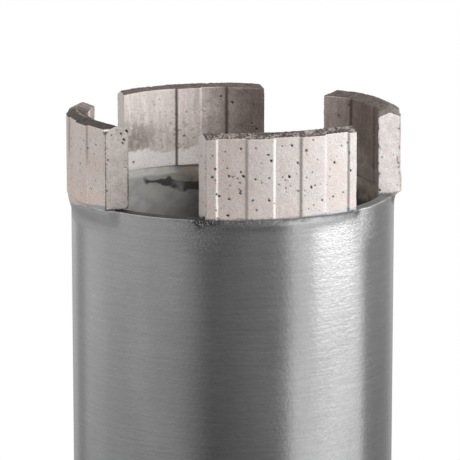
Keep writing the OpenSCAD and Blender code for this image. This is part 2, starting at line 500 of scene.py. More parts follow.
def scorched(tree, place, below, fine):
    """Where the welds' heat has burnt the barrel inside: a torn band at the back, and a patch."""
    x, y, _ = node(tree, "SeparateXYZ", {0: place}).outputs
    blobs = times(tree, minus(tree, cloud(tree, place, 2.4, 1.5, (1, 1, 1.3)), 0.5), 3.0)
    torn_below = plus(tree, below, plus(tree, blobs, times(tree, fine, 0.3)))
    round_back = minus(tree, y, SCORCH_START)
    upper = fade(tree, minus(tree, torn_below, times(tree, round_back, 0.16)), 1.6, 2.0)
    lower = fade(tree, minus(tree, torn_below, times(tree, round_back, 0.36)), 2.05, 2.55, 1.0, 0.0)
    band = fade(tree, y, SCORCH_START - 0.6, SCORCH_START + 0.2)
    band = times(tree, band, fade(tree, x, -8.0, 0.0, 1.0, 0.0))
    from_break = worked_out(tree, "ABSOLUTE", minus(tree, plus(tree, y, blobs), SCORCH_BREAK))
    band = times(tree, band, fade(tree, from_break, 0.05, 0.8, 0.45, 1.0))
    patch = times(tree, fade(tree, plus(tree, below, blobs), 2.6, 3.4), fade(tree, x, 10.0, 13.0))
    patch = times(tree, patch, fade(tree, x, 14.0, 16.5, 0.9, 0.0))
    return larger(tree, times(tree, times(tree, upper, lower), band), patch)


def inside_tones(tree, place, below, ragged, fine, upright):
    """Inside: overspray, darkened by painted shade everywhere but at the far left and more further down the
    bore, heat tints and scorching.

    Gives the colour and how burnt it is.
    """
    x, y, _ = node(tree, "SeparateXYZ", {0: place}).outputs
    broad = cloud(tree, place, 7.0, 2.0)
    cloudy = times(tree, minus(tree, broad, 0.5), 4.0)
    # Painted shade: the overspray darkens away from the far left, for the light the bore reflects there
    bore_shade = fade(tree, plus(tree, x, cloudy), -22.5, -14.5)
    colour = tint(tree, bore_shade, OVERSPRAY, INSIDE_SHADE)
    heat_tone = tint(tree, fade(tree, broad, 0.42, 0.6), HEAT_OLIVE, HEAT_BROWN)
    heat = fade(tree, plus(tree, below, cloudy), 0.5, 6.0, 1.0, 0.0)
    heat = times(tree, heat, fade(tree, ragged, 0.4, 0.65))
    colour = tint(tree, times(tree, heat, plus(tree, 0.25, times(tree, bore_shade, 0.75))), colour, heat_tone)
    pale = fade(tree, plus(tree, below, times(tree, ragged, 1.5)), 1.7, 2.4, 1.0, 0.0)
    colour = tint(tree, times(tree, pale, fade(tree, bore_shade, 0.2, 0.9, 1.0, 0.35)), colour, OVERSPRAY_EDGE)
    browned = times(tree, fade(tree, y, *BROWNED), fade(tree, below, 1.6, 2.6, 0.7, 0.0))
    colour = tint(tree, browned, colour, OVERSPRAY_BROWN)
    # The mottle's darkening further down the bore is painted shade
    mottle = times(tree, fade(tree, ragged, 0.3, 0.7, 0.86, 1.16), fade(tree, below, 4.0, 11.0, 1.0, 0.76))
    colour = brightened(tree, colour, mottle)
    tanned = times(tree, fade(tree, x, *TANNED), fade(tree, plus(tree, upright, ragged), 0.9, 1.15))
    colour = tint(tree, times(tree, tanned, 0.8), colour, HEAT_TAN)
    rusty = times(tree, fade(tree, x, TANNED[0], TANNED[0] + 2.0), fade(tree, upright, 0.58, 0.68, 0.0, 0.7))
    colour = tint(tree, rusty, colour, HEAT_RUST)
    # Painted shade: darker further down the bore
    colour = tint(tree, fade(tree, below, 4.0, 11.0, 0.0, 0.35), colour, INSIDE_SHADE)
    burnt = scorched(tree, place, below, fine)
    return tint(tree, times(tree, burnt, 0.9), colour, SCORCH), burnt


def outside_tones(tree, place, grey, below, inside, ragged, fine):
    """Outside: the welds' spatter shows through the lacquer, and the left shoulder's top is bare.

    Gives the colour, how much spatter there is and how bare the steel is.
    """
    spatter = written(tree, "spatter")
    edge = plus(tree, below, times(tree, minus(tree, ragged, 0.5), 2.2))
    reach = plus(tree, 0.4, times(tree, 2.0, worked_out(tree, "POWER", spatter, 4.0)))
    near = times(tree, fade(tree, worked_out(tree, "DIVIDE", edge, reach), 0.1, 1.4, 1.0, 0.0), spatter)
    colour = tint(tree, times(tree, near, fade(tree, fine, 0.32, 0.5)), grey, WELD_GRIT)
    specks = cloud(tree, place, 0.26, 1.0, (1.1, 1.1, 1.1))
    colour = tint(tree, times(tree, near, fade(tree, specks, 0.6, 0.68, 0.0, 0.35)), colour, WELD_BRIGHT)
    depth = written(tree, "unsprayed")
    over_line = plus(tree, minus(tree, depth, below), minus(tree, ragged, 0.5))
    bare = times(tree, fade(tree, over_line, -0.06, 0.12), fade(tree, depth, 0.03, 0.1))
    bare = times(tree, bare, fade(tree, inside, 0.0, 0.2, 1.0, 0.0))
    return tint(tree, bare, colour, UNSPRAYED), near, bare


def rim_tones(tree, colour, x, radius, below, on_shoulder, ragged, fine, upright):
    """The rim's top, dull and in painted shade that is lighter grey at both sides, and its outer edge, rubbed
    bright.

    Gives the colour and where the rim's top is.
    """
    at_foot = times(tree, on_shoulder, fade(tree, radius, TUBE_RADIUS, TUBE_RADIUS + 0.15))
    on_rim = times(tree, fade(tree, below, 0.02, 0.09, 1.0, 0.0), minus(tree, 1.0, at_foot))
    to_right = fade(tree, plus(tree, x, times(tree, fine, 6.0)), 6.0, 18.0)
    # Painted shade on the rim's top, near black in the middle and lighter grey towards both sides
    tone = tint(tree, to_right, RIM_SHADE, RIM_GREY)
    tone = tint(tree, fade(tree, x, -15.0, -19.0, 0.0, 0.5), tone, RIM_GREY)
    lapped = times(tree, fade(tree, x, 8.0, 14.0), fade(tree, radius, TUBE_RADIUS - 0.5, TUBE_RADIUS - 0.3))
    lapped = times(tree, lapped, fade(tree, fine, 0.35, 0.5))
    on_rim = times(tree, on_rim, minus(tree, 1.0, lapped))
    colour = tint(tree, on_rim, colour, tone)
    worn = fade(tree, radius, TUBE_RADIUS - 0.25, TUBE_RADIUS - 0.1)
    worn = times(tree, worn, fade(tree, below, 0.0, 0.3, 1.0, 0.0))
    worn = times(tree, worn, fade(tree, plus(tree, fine, ragged), 0.9, 1.15))
    worn = times(tree, worn, fade(tree, upright, 0.42, 0.58, 0.25, 1.0))
    worn = times(tree, worn, fade(tree, x, 10.0, 17.0, 0.1, 0.8))
    return tint(tree, worn, colour, WELD_BRIGHT), on_rim


def barrel_finish(name):
    """Lacquer outside. Inside, overspray in painted shade over heat tints, and scorched patches near the rim.
    The rim's top is in painted shade.
    """
    material = lacquer(name)
    tree = material.node_tree
    shader = tree.nodes["Principled BSDF"]
    grey = shader.inputs["Base Color"].links[0].from_socket
    gloss = shader.inputs["Roughness"].links[0].from_socket
    place = place_in_mm(tree)
    x, y, z = node(tree, "SeparateXYZ", {0: place}).outputs
    flat_place = node(tree, "CombineXYZ", {0: x, 1: y}).outputs[0]
    radius = node(tree, "VectorMath", {0: flat_place}, operation="LENGTH").outputs["Value"]
    inside = fade(tree, radius, TUBE_BORE_RADIUS + 0.25, TUBE_BORE_RADIUS + 0.75, 1.0, 0.0)
    below = minus(tree, RIM, z)
    ragged = cloud(tree, place, 2.2, 4.0, (1, 1, 1.4))
    fine = cloud(tree, place, 0.3, 2.0)
    upright = cloud(tree, place, 0.9, 3.0, (1, 1, 0.6))
    inner, burnt = inside_tones(tree, place, below, ragged, fine, upright)
    outer, near, bare = outside_tones(tree, place, grey, below, inside, ragged, fine)
    on_shoulder = written(tree, "dull")
    colour = tint(tree, inside, outer, inner)
    colour, on_rim = rim_tones(tree, colour, x, radius, below, on_shoulder, ragged, fine, upright)
    tree.links.new(colour, shader.inputs["Base Color"])

    # Inside, on the rim and round the welds it is rougher and less like metal
    metal = minus(tree, fade(tree, inside, 0.0, 1.0, 1.0, 0.3), times(tree, bare, 0.6))
    tree.links.new(minus(tree, metal, times(tree, near, 0.3)), shader.inputs["Metallic"])
    dull = plus(tree, plus(tree, times(tree, inside, 0.16), times(tree, on_rim, 0.3)), gloss)
    dull_shoulder = times(tree, on_shoulder, fade(tree, below, 2.4, 4.4, 1.0, 0.0))
    rough = larger(tree, larger(tree, near, bare), dull_shoulder)
    dull = plus(tree, dull, times(tree, rough, 0.35))
    dull = plus(tree, dull, times(tree, burnt, times(tree, inside, 0.25)))
    tree.links.new(dull, shader.inputs["Roughness"])
    return material


barrel_radius, barrel_height = (np.array(values) for values in zip(*barrel_rings))
barrel = new_piece(
    "barrel_tube",
    turned_points(barrel_angle, barrel_radius, barrel_height),
    grid_faces(len(barrel_rings), BARREL_STEPS, True, True),
    [barrel_finish("barrel_lacquer")],
    crease=50,
)
barrel_values = {
    "spatter": round_rim(barrel_angle, SPATTER),
    "unsprayed": unsprayed_depth,
    "dull": on_left * smooth(-outside_end, -2.5, 0),
}
write_values(barrel.data, {name: np.tile(value, len(barrel_rings)) for name, value in barrel_values.items()})
grit_depth = 1 - smooth(RIM - barrel_height, 3.0, 7.5)
write_values(barrel.data, {"grit": (round_rim(barrel_angle, GRIT) * grit_depth).ravel()})
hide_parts("barrel")
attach(barrel, "root")


# The four segments are pressed and sintered from metal powder and diamond grit, with a wave
# section whose strips step in and out, flat parallel ends and a roof-shaped top. They are laser
# welded on the rim, one a little out of place. Pores stand open; the foot holds no diamond.
SEGMENT_THICK = 3.2
SHOULDER = 12.3
RIDGE = 13.0
RIDGE_RADIUS = CROWN_RADIUS - SEGMENT_THICK / 2
ROOF_SLOPE = (RIDGE - SHOULDER) / (SEGMENT_THICK / 2)
STRIP_LENGTH = 4.12
STEP_DEPTH = 0.25
STEP_RUN = 0.45
CELL = 0.125
EDGE_STOPS = (0.05, 0.12, 0.22)
INNER_PITS = 30
PIT_WIDTHS = (0.09, 0.24)
PORE_DEPTH = 0.07
FOOT_SLOPE = 1.6
ROOF_WEAR = 0.04
END_WEAR = 0.18
RIDGE_EASE = 0.16
CHIP_DEPTH = 0.4
CHIP_TURN = math.radians(-40)
CHIP_TILT = math.radians(25)

SINTER = (0.735, 0.665, 0.635, 1)
SINTER_PINK = (0.72, 0.615, 0.58, 1)
SINTER_GREY = (0.7, 0.648, 0.62, 1)
SINTER_LIGHT = (0.82, 0.77, 0.745, 1)
SINTER_DULL = (0.565, 0.53, 0.51, 1)
SINTER_INNER = (0.98, 0.89, 0.85, 1)
# Painted shade on the inner faces and on the walls between strips
SINTER_SHADE = (0.198, 0.15, 0.128, 1)
SINTER_SMUDGE = (0.38, 0.325, 0.3, 1)
# Painted shade on the inner walls between strips
INNER_WALL_SHADE = (0.13, 0.097, 0.083, 1)
FOOT_COPPER = (0.84, 0.65, 0.545, 1)
FOOT_PALE = (0.98, 0.935, 0.91, 1)
# Painted highlight on the lit walls between strips
WALL_HIGHLIGHT = (0.96, 0.93, 0.91, 1)
ROOF_DARK = (0.095, 0.075, 0.066, 1)
ROOF_PALE = (0.43, 0.375, 0.34, 1)
ROOF_BROWN = (0.11, 0.088, 0.077, 1)
ROOF_WORN = (0.18, 0.152, 0.136, 1)
# Painted shade on the left segment's roof
ROOF_SHADED = (0.04, 0.03, 0.026, 1)
# Dark of the pores, partly dirt and partly painted shade; also used for the painted shade round the ends
PORE_DIRT_AND_SHADE = (0.02, 0.017, 0.016, 1)


def lines_through(stops, pitch):
    """Grid lines through every stop, no further apart than pitch."""
    lines = [stops[0]]
    for start, end in zip(stops, stops[1:]):
        count = max(1, math.ceil((end - start) / pitch - 1e-6))
        lines.extend(start + (end - start) * (n + 1) / count for n in range(count))
    return np.array(lines)


def block_lines(length, stops=()):
    """Grid lines along one side of the block, closer together at its two edges."""
    far_stops = [length - stop for stop in reversed(EDGE_STOPS)]
    return lines_through([0, *EDGE_STOPS, *stops, *far_stops, length], CELL)


def block_skin(along, across, up):
    """The outside of a block of grid lines: which lines each point is on, and the faces."""
    sizes = len(along), len(across), len(up)
    sides = [(axis, side) for axis in range(3) for side in (0, -1)]
    shell = np.zeros(sizes, bool)
    for axis, side in sides:
        np.moveaxis(shell, axis, 0)[side] = True
    number = np.cumsum(shell).reshape(sizes) - 1
    faces = []
    for axis, side in sides:
        sheet = np.moveaxis(number, axis, 0)[side]
        corners = [sheet[:-1, :-1], sheet[1:, :-1], sheet[1:, 1:], sheet[:-1, 1:]]
        if (side == 0) != (axis == 1):
            corners.reverse()
        faces.append(np.stack(corners, axis=-1).reshape(-1, 4))
    return np.argwhere(shell), np.concatenate(faces)


def wave(along):
    """0 on the strips that sit back outside, 1 on those that stand out, sloped between them."""
    step = np.round(along / STRIP_LENGTH - 0.5)
    passed = np.clip((along - (step + 0.5) * STRIP_LENGTH) / STEP_RUN + 0.5, 0, 1)
    passed = 0.6 * passed + 0.4 * passed * passed * (3 - 2 * passed)
    left_out = step % 2 != 0
    return np.where(left_out, 1 - passed, passed)


def pits(draw, count, width, height, sizes, lean=0.0):
    """Scattered pits: where each is, how wide and how deep. Lean crowds them to one end."""
    along = (draw.random(count) ** (1 + lean) - 0.5) * width
    up = draw.uniform(0.25, height, count)
    wide = sizes[0] + (sizes[1] - sizes[0]) * draw.random(count) ** 2
    return np.stack([along, up, wide, wide * draw.uniform(0.5, 0.9, count)], axis=-1)


def pit_depth(along, up, ragged, spots):
    """How deep the surface is sunk at each place by those pits."""
    depth = np.zeros(len(along))
    for at_along, at_up, wide, deep in spots:
        away = np.hypot(along - at_along, up - at_up) / wide * (1 + 0.5 * ragged)
        depth = np.maximum(depth, deep * np.clip(1 - away**2, 0, 1))
    return depth


STEP_PLACES = [(k + 0.5) * STRIP_LENGTH + side * STEP_RUN / 2 for k in range(-3, 3) for side in (-1, 1)]
along_lines = block_lines(SEGMENT_LENGTH, [place + SEGMENT_LENGTH / 2 for place in STEP_PLACES])
across_lines = block_lines(SEGMENT_THICK)
up_lines = block_lines(SHOULDER, [0.5])
block_at, block_faces = block_skin(along_lines, across_lines, up_lines)
block = np.stack([lines[at] for lines, at in zip((along_lines, across_lines, up_lines), block_at.T)], axis=-1)
on_side = {
    "left_end": block_at[:, 0] == 0,
    "right_end": block_at[:, 0] == len(along_lines) - 1,
    "inner": block_at[:, 1] == 0,
    "outer": block_at[:, 1] == len(across_lines) - 1,
    "roof": block_at[:, 2] == len(up_lines) - 1,
}
on_side["ends"] = on_side["left_end"] | on_side["right_end"]


def worn_block(ragged, crumbled, wavy, crumble, corner):
    """The block with its edges worn round and small breaks here and there, and x from its middle.

    Crumble is how far the inner edge of the -X end has broken away, and corner the rounding at the
    foot's inner corner of the +X end.
    """
    size = np.array([SEGMENT_LENGTH, SEGMENT_THICK, SHOULDER])
    ease = 0.11 + 0.03 * wavy + 0.16 * np.clip(crumbled - 0.35, 0, 1) + 0.04 * smooth(block[:, 2], 11.5, 12.2)
    at_broken_edge = (block[:, 0] < 0.5) & (block[:, 1] < 0.5)
    ease = ease + crumble * at_broken_edge * np.clip(crumbled + 0.5 * ragged, 0, 1)
    ease = (ease * (0.15 + 0.85 * smooth(block[:, 2], 0.1, 0.7)))[:, None]
    core = np.clip(block, ease, size - ease)
    out = block - core
    x, y, z = (core + out * ease / np.maximum(np.linalg.norm(out, axis=1), 1e-9)[:, None]).T
    short_y, short_z = np.clip(corner - y, 0, None), np.clip(corner - z, 0, None)
    pulled = np.clip(1 - corner / np.maximum(np.hypot(short_y, short_z), 1e-9), 0, 1)
    pulled *= smooth(block[:, 0], SEGMENT_LENGTH - 1, SEGMENT_LENGTH)
    return x - SEGMENT_LENGTH / 2, y + pulled * short_y, z + pulled * short_z


def sunk_sides(draw, x, y, z, ragged, outer_pits, end_pits, roof_pits, pit_size, holes):
    """How deep each side is sunk at each point by its pores, its pits and its holes.

    Each hole in the +X end has its place from the inner side and up, its half width and its depth.
    """
    outer_size, end_size, edge_size = np.outer((1, 0.8, 0.7), PIT_WIDTHS) * pit_size
    outer_spots = pits(draw, outer_pits, SEGMENT_LENGTH - 0.8, SHOULDER - 0.6, outer_size, 0.35)
    inner_spots = pits(draw, INNER_PITS, SEGMENT_LENGTH - 0.8, SHOULDER - 0.6, end_size)
    roof_spots = pits(draw, roof_pits, SEGMENT_LENGTH - 0.4, SEGMENT_THICK, outer_size)
    sunk = {
        "outer": pit_depth(x, z, ragged, outer_spots),
        "inner": pit_depth(x, z, ragged, inner_spots),
        "roof": pit_depth(x, y, ragged, roof_spots),
    }
    for end in ("left_end", "right_end"):
        spots = pits(draw, end_pits, SEGMENT_THICK - 0.3, SHOULDER - 0.4, end_size)
        edge_spots = pits(draw, 2 * end_pits, 0.5, SHOULDER - 1.6, edge_size) + [1.3, 0, 0, 0]
        if holes and end == "right_end":
            edge_spots = np.concatenate([edge_spots, np.array(holes) - [SEGMENT_THICK / 2, 0, 0, 0]])
        sunk[end] = pit_depth(y - SEGMENT_THICK / 2, z, ragged, np.concatenate([spots, edge_spots]))
    return sunk


def wall_values(x, height, raised, wave_shift, inner_steps, shaded_above, shaded_past):
    """How much each point is on a wall between two strips in painted shade, and on one with a painted
    highlight.
    """
    rising = np.round((x - wave_shift) / STRIP_LENGTH - 0.5) % 2 == 0
    from_step = np.abs((x - wave_shift) / STRIP_LENGTH % 1 - 0.5) * STRIP_LENGTH
    inner_wall = (1 - smooth(from_step, 0.06, 0.31)) * ((x > inner_steps[0]) & (x < inner_steps[1]))
    wall = np.where(on_side["inner"], inner_wall, 4 * raised * (1 - raised))
    in_shade = np.where(rising, 1, smooth(height, shaded_above - 1.5, shaded_above + 1.5))
    dark = wall * np.maximum(in_shade, on_side["inner"] * (x > shaded_past))
    return dark, wall * (1 - in_shade) * on_side["outer"]


def end_shade_line(z, corner, end_shade_width, end_shade_strength):
    """How much each point lies in the line of painted shade round an end, as wide along the inner side as the
    width given.
    """
    _, across, up = block.T
    in_corner = corner - np.hypot(np.clip(corner - across, 0, None), np.clip(corner - up, 0, None))
    from_inner = np.where(np.maximum(across, up) < corner, in_corner, np.minimum(across, up))
    at_outer = 1 - smooth(SEGMENT_THICK - across, 0.05, 0.17)
    at_inner = (1 - smooth(from_inner, end_shade_width * 0.4, end_shade_width)) * (1 - 0.75 * smooth(z, 5, 8.5))
    return on_side["ends"] * np.maximum(at_outer, at_inner) * end_shade_strength


def segment_points(
    seed, outer_pits, end_pits, roof_pits=40, pit_size=1.0, holes=(), crumble=0.0, corner=0.0,
    wave_shift=0.0, inner_steps=(-12, 12), inner_rise=0.0, foot_out=0.0, foot_radius=WELD_FOOT_RADIUS,
    lean_in=0.0, end_shade_width=0.17, end_shade_strength=1.0, shaded_above=99.0, shaded_past=99.0,
):
    """One segment's points in its own frame, x along it and -Y outwards, and what is where.

    The wave lies wave_shift along, and inside it has steps between the two inner_steps only.
    Inner_rise lifts the roof's inner side, foot_out lets the foot bulge, and lean_in is how far the
    -X end was welded in towards the axis. The walls of the falling steps are in painted shade above
    the given height outside and past the given place inside, with a painted highlight below that outside; the
    rising ones are in painted shade everywhere.
    """
    draw = np.random.default_rng(seed)
    shifted = block + 50.0 * seed
    ragged = unevenness(shifted, 0.22, seed)
    crumbled = unevenness(shifted, 0.6, seed + 1)
    wavy = unevenness(shifted, 2.4, seed + 2)
    x, y, z = worn_block(ragged, crumbled, wavy, crumble, corner)

    # Pores and grit: sunk into each side, with a fine unevenness over all of them
    sunk = sunk_sides(draw, x, y, z, ragged, outer_pits, end_pits, roof_pits, pit_size, holes)
    pore = np.zeros(len(x))
    for side, depth in sunk.items():
        pore = np.where(on_side[side], np.maximum(pore, np.clip(depth / PORE_DEPTH, 0, 1)), pore)
    grain = 0.012 * ragged + 0.016 * crumbled + 0.02 * wavy
    x = x + np.where(on_side["left_end"], sunk["left_end"] + grain, 0)
    x = x - np.where(on_side["right_end"], sunk["right_end"] + grain, 0)
    y = y + np.where(on_side["inner"], sunk["inner"] + grain, 0)
    y = y - np.where(on_side["outer"], sunk["outer"] + grain, 0)

    # From the block to the ring: the wave section, the chamfered foot and the roof
    raised = wave(x - wave_shift)
    raised_inside = wave(np.clip(x, *inner_steps) - wave_shift)
    out_radius = CROWN_RADIUS - STEP_DEPTH * (1 - raised)
    in_radius = CROWN_RADIUS - SEGMENT_THICK - STEP_DEPTH * (1 - raised_inside)
    radius = in_radius + (out_radius - in_radius) * y / SEGMENT_THICK
    bulge = foot_out * smooth(z, 0.0, 0.5) * (1 - smooth(z, 2.2, 4.2)) * y / SEGMENT_THICK
    radius = np.minimum(radius + bulge, foot_radius + FOOT_SLOPE * z + 0.03 * crumbled)
    off_ridge = radius - RIDGE_RADIUS + 0.06 * wavy
    slope = np.where(off_ridge > 0, ROOF_SLOPE, ROOF_SLOPE - inner_rise / (SEGMENT_THICK / 2 + STEP_DEPTH))
    crest = np.sqrt(off_ridge**2 + RIDGE_EASE**2) - RIDGE_EASE * np.exp(-np.abs(off_ridge) / 0.5)
    top = RIDGE - ROOF_WEAR - slope * crest - END_WEAR * (np.abs(x) / (SEGMENT_LENGTH / 2)) ** 5
    bitten = 0.08 * np.clip(crumbled, 0, 1) ** 2 + 0.03 * wavy + 0.04 * crumbled + 0.035 * ragged
    top = top - np.where(on_side["roof"], sunk["roof"] * 0.7 + bitten, 0)
    height = z / SHOULDER * top
    radius = radius - lean_in * (0.5 - x / SEGMENT_LENGTH)

    place = np.stack([x, radius, height], axis=-1)
    # Painted shade on the walls between strips that face away from the light, a painted highlight on those
    # that face it
    shaded_wall, lit_wall = wall_values(x, height, raised, wave_shift, inner_steps, shaded_above, shaded_past)
    values = {
        "inner": on_side["inner"], "ends": on_side["ends"], "roof": on_side["roof"], "pore": pore,
        "ridge": (1 - smooth(np.abs(off_ridge), 0.06, 0.24)) * on_side["roof"],
        "wall": shaded_wall, "bright": lit_wall, "edge": end_shade_line(z, corner, end_shade_width, end_shade_strength),
    }
    return np.stack([x, -np.sqrt(radius**2 - x**2), height], axis=-1), place, values


def chipped(points, seed):
    """The outer top corner broken off along a flat slanting face, and rough where it broke."""
    half = SEGMENT_LENGTH / 2
    corner = np.array([half, -math.sqrt(CROWN_RADIUS**2 - half**2), SHOULDER])
    facing = np.array([
        math.cos(CHIP_TILT) * math.cos(CHIP_TURN),
        math.cos(CHIP_TILT) * math.sin(CHIP_TURN),
        math.sin(CHIP_TILT),
    ])
    beyond = (points - corner) @ facing + CHIP_DEPTH + 0.02 * unevenness(points, 0.25, seed)
    broken = beyond > 0
    return points - np.where(broken, beyond, 0)[:, None] * facing, broken.astype(float)


def inner_face_tone(tree, place, along, up, patch, blotch, ragged, stain_and_shade, smudged, smudge_at):
    """The inside: in painted shade growing from one end, smudged, and streaked upright.

    Gives the colour and how deep its painted shade is. The shade ramp is how much, from where to where along
    it.
    Smudge_at is the middle, along and up, of one more smudge and how far it reaches both ways.
    """
    most, shade_from, shade_to = stain_and_shade
    # Painted shade: the inner face darkens along its length, from the pale tone to the shaded one
    inner_shaded = fade(tree, plus(tree, along, times(tree, ragged, 3.0)), shade_from, shade_to, 0.0, most)
    colour = tint(tree, inner_shaded, SINTER_INNER, SINTER_SHADE)
    clouded = fade(tree, plus(tree, patch, blotch), 0.78, 1.18, 0.45, 1.1)
    smudge = times(tree, clouded, fade(tree, up, 10.5, 4.0, 0.05, 1.0))
    spots = fade(tree, cloud(tree, place, 0.75, 1.0), 0.6, 0.68, 0.0, 0.9)
    smudge = plus(tree, smudge, times(tree, spots, fade(tree, up, 11.5, 8.0, 0.3, 1.0)))
    smudge = times(tree, smudge, smudged)
    if smudge_at:
        middle_along, middle_up, reach_along, reach_up = smudge_at
        off_along = worked_out(tree, "DIVIDE", minus(tree, along, middle_along), reach_along)
        off_up = worked_out(tree, "DIVIDE", minus(tree, up, middle_up), reach_up)
        off = node(tree, "CombineXYZ", {0: off_along, 1: off_up}).outputs[0]
        off = node(tree, "VectorMath", {0: off}, operation="LENGTH").outputs["Value"]
        one_more = fade(tree, plus(tree, off, ragged), 1.35, 0.45)
        one_more = times(tree, one_more, fade(tree, blotch, 0.35, 0.6, 0.65, 1.0))
        smudge = larger(tree, smudge, one_more)
    colour = tint(tree, smudge, colour, SINTER_SMUDGE)
    streaks = cloud(tree, place, 0.8, 3.0, (1, 1, 0.14))
    return brightened(tree, colour, fade(tree, streaks, 0.3, 0.7, 0.9, 1.08)), inner_shaded


def roof_tone(tree, on_ridge, along, blotch, specks, grain, ragged, roof, roof_worn, ridge_highlight):
    """The roof: mottled between its two tones, rubbed paler towards the -X end, with a painted highlight
    along the ridge.
    """
    colour = tint(tree, fade(tree, plus(tree, specks, blotch), 0.88, 1.2), *roof)
    rubbed = fade(tree, plus(tree, along, times(tree, ragged, 3.5)), -4.5, -9.0, 0.0, roof_worn)
    rubbed = times(tree, rubbed, fade(tree, plus(tree, specks, grain), 0.85, 1.15, 0.5, 1.3))
    # Painted highlight along the ridge
    ridge = times(tree, on_ridge, fade(tree, plus(tree, blotch, specks), 0.8, 1.05, 0.0, ridge_highlight))
    rubbed = larger(tree, rubbed, times(tree, ridge, fade(tree, along, 1.0, 5.0, 1.0, 0.0)))
    return tint(tree, rubbed, colour, ROOF_PALE)


def marked(tree, colour, up, ragged, grain, specks):
    """The broken corner, painted shade along the ends' edges, weld grit along the foot, and pores, dark with
    dirt and painted shade.
    """
    broken_up = fade(tree, plus(tree, up, times(tree, ragged, 0.2)), 11.95, 12.2)
    broken = tint(tree, broken_up, ROOF_DARK, FOOT_PALE)
    colour = tint(tree, times(tree, written(tree, "broken"), 0.8), colour, broken)
    # Painted shade along the ends' edges, darkest at the inner side and the foot's corner
    edge = times(tree, written(tree, "edge"), fade(tree, specks, 0.3, 0.6, 0.25, 0.75))
    colour = tint(tree, edge, colour, PORE_DIRT_AND_SHADE)
    joint = fade(tree, plus(tree, up, times(tree, ragged, 0.55)), 0.15, 0.55, 1.0, 0.0)
    joint = times(tree, times(tree, joint, written(tree, "spatter")), fade(tree, grain, 0.35, 0.55))
    colour = tint(tree, joint, colour, WELD_GRIT)
    colour = tint(tree, fade(tree, specks, 0.7, 0.76, 0.0, 0.5), colour, PORE_DIRT_AND_SHADE)
    # The pores darken, partly with dirt and partly with painted shade in them
    return tint(tree, written(tree, "pore"), colour, PORE_DIRT_AND_SHADE)


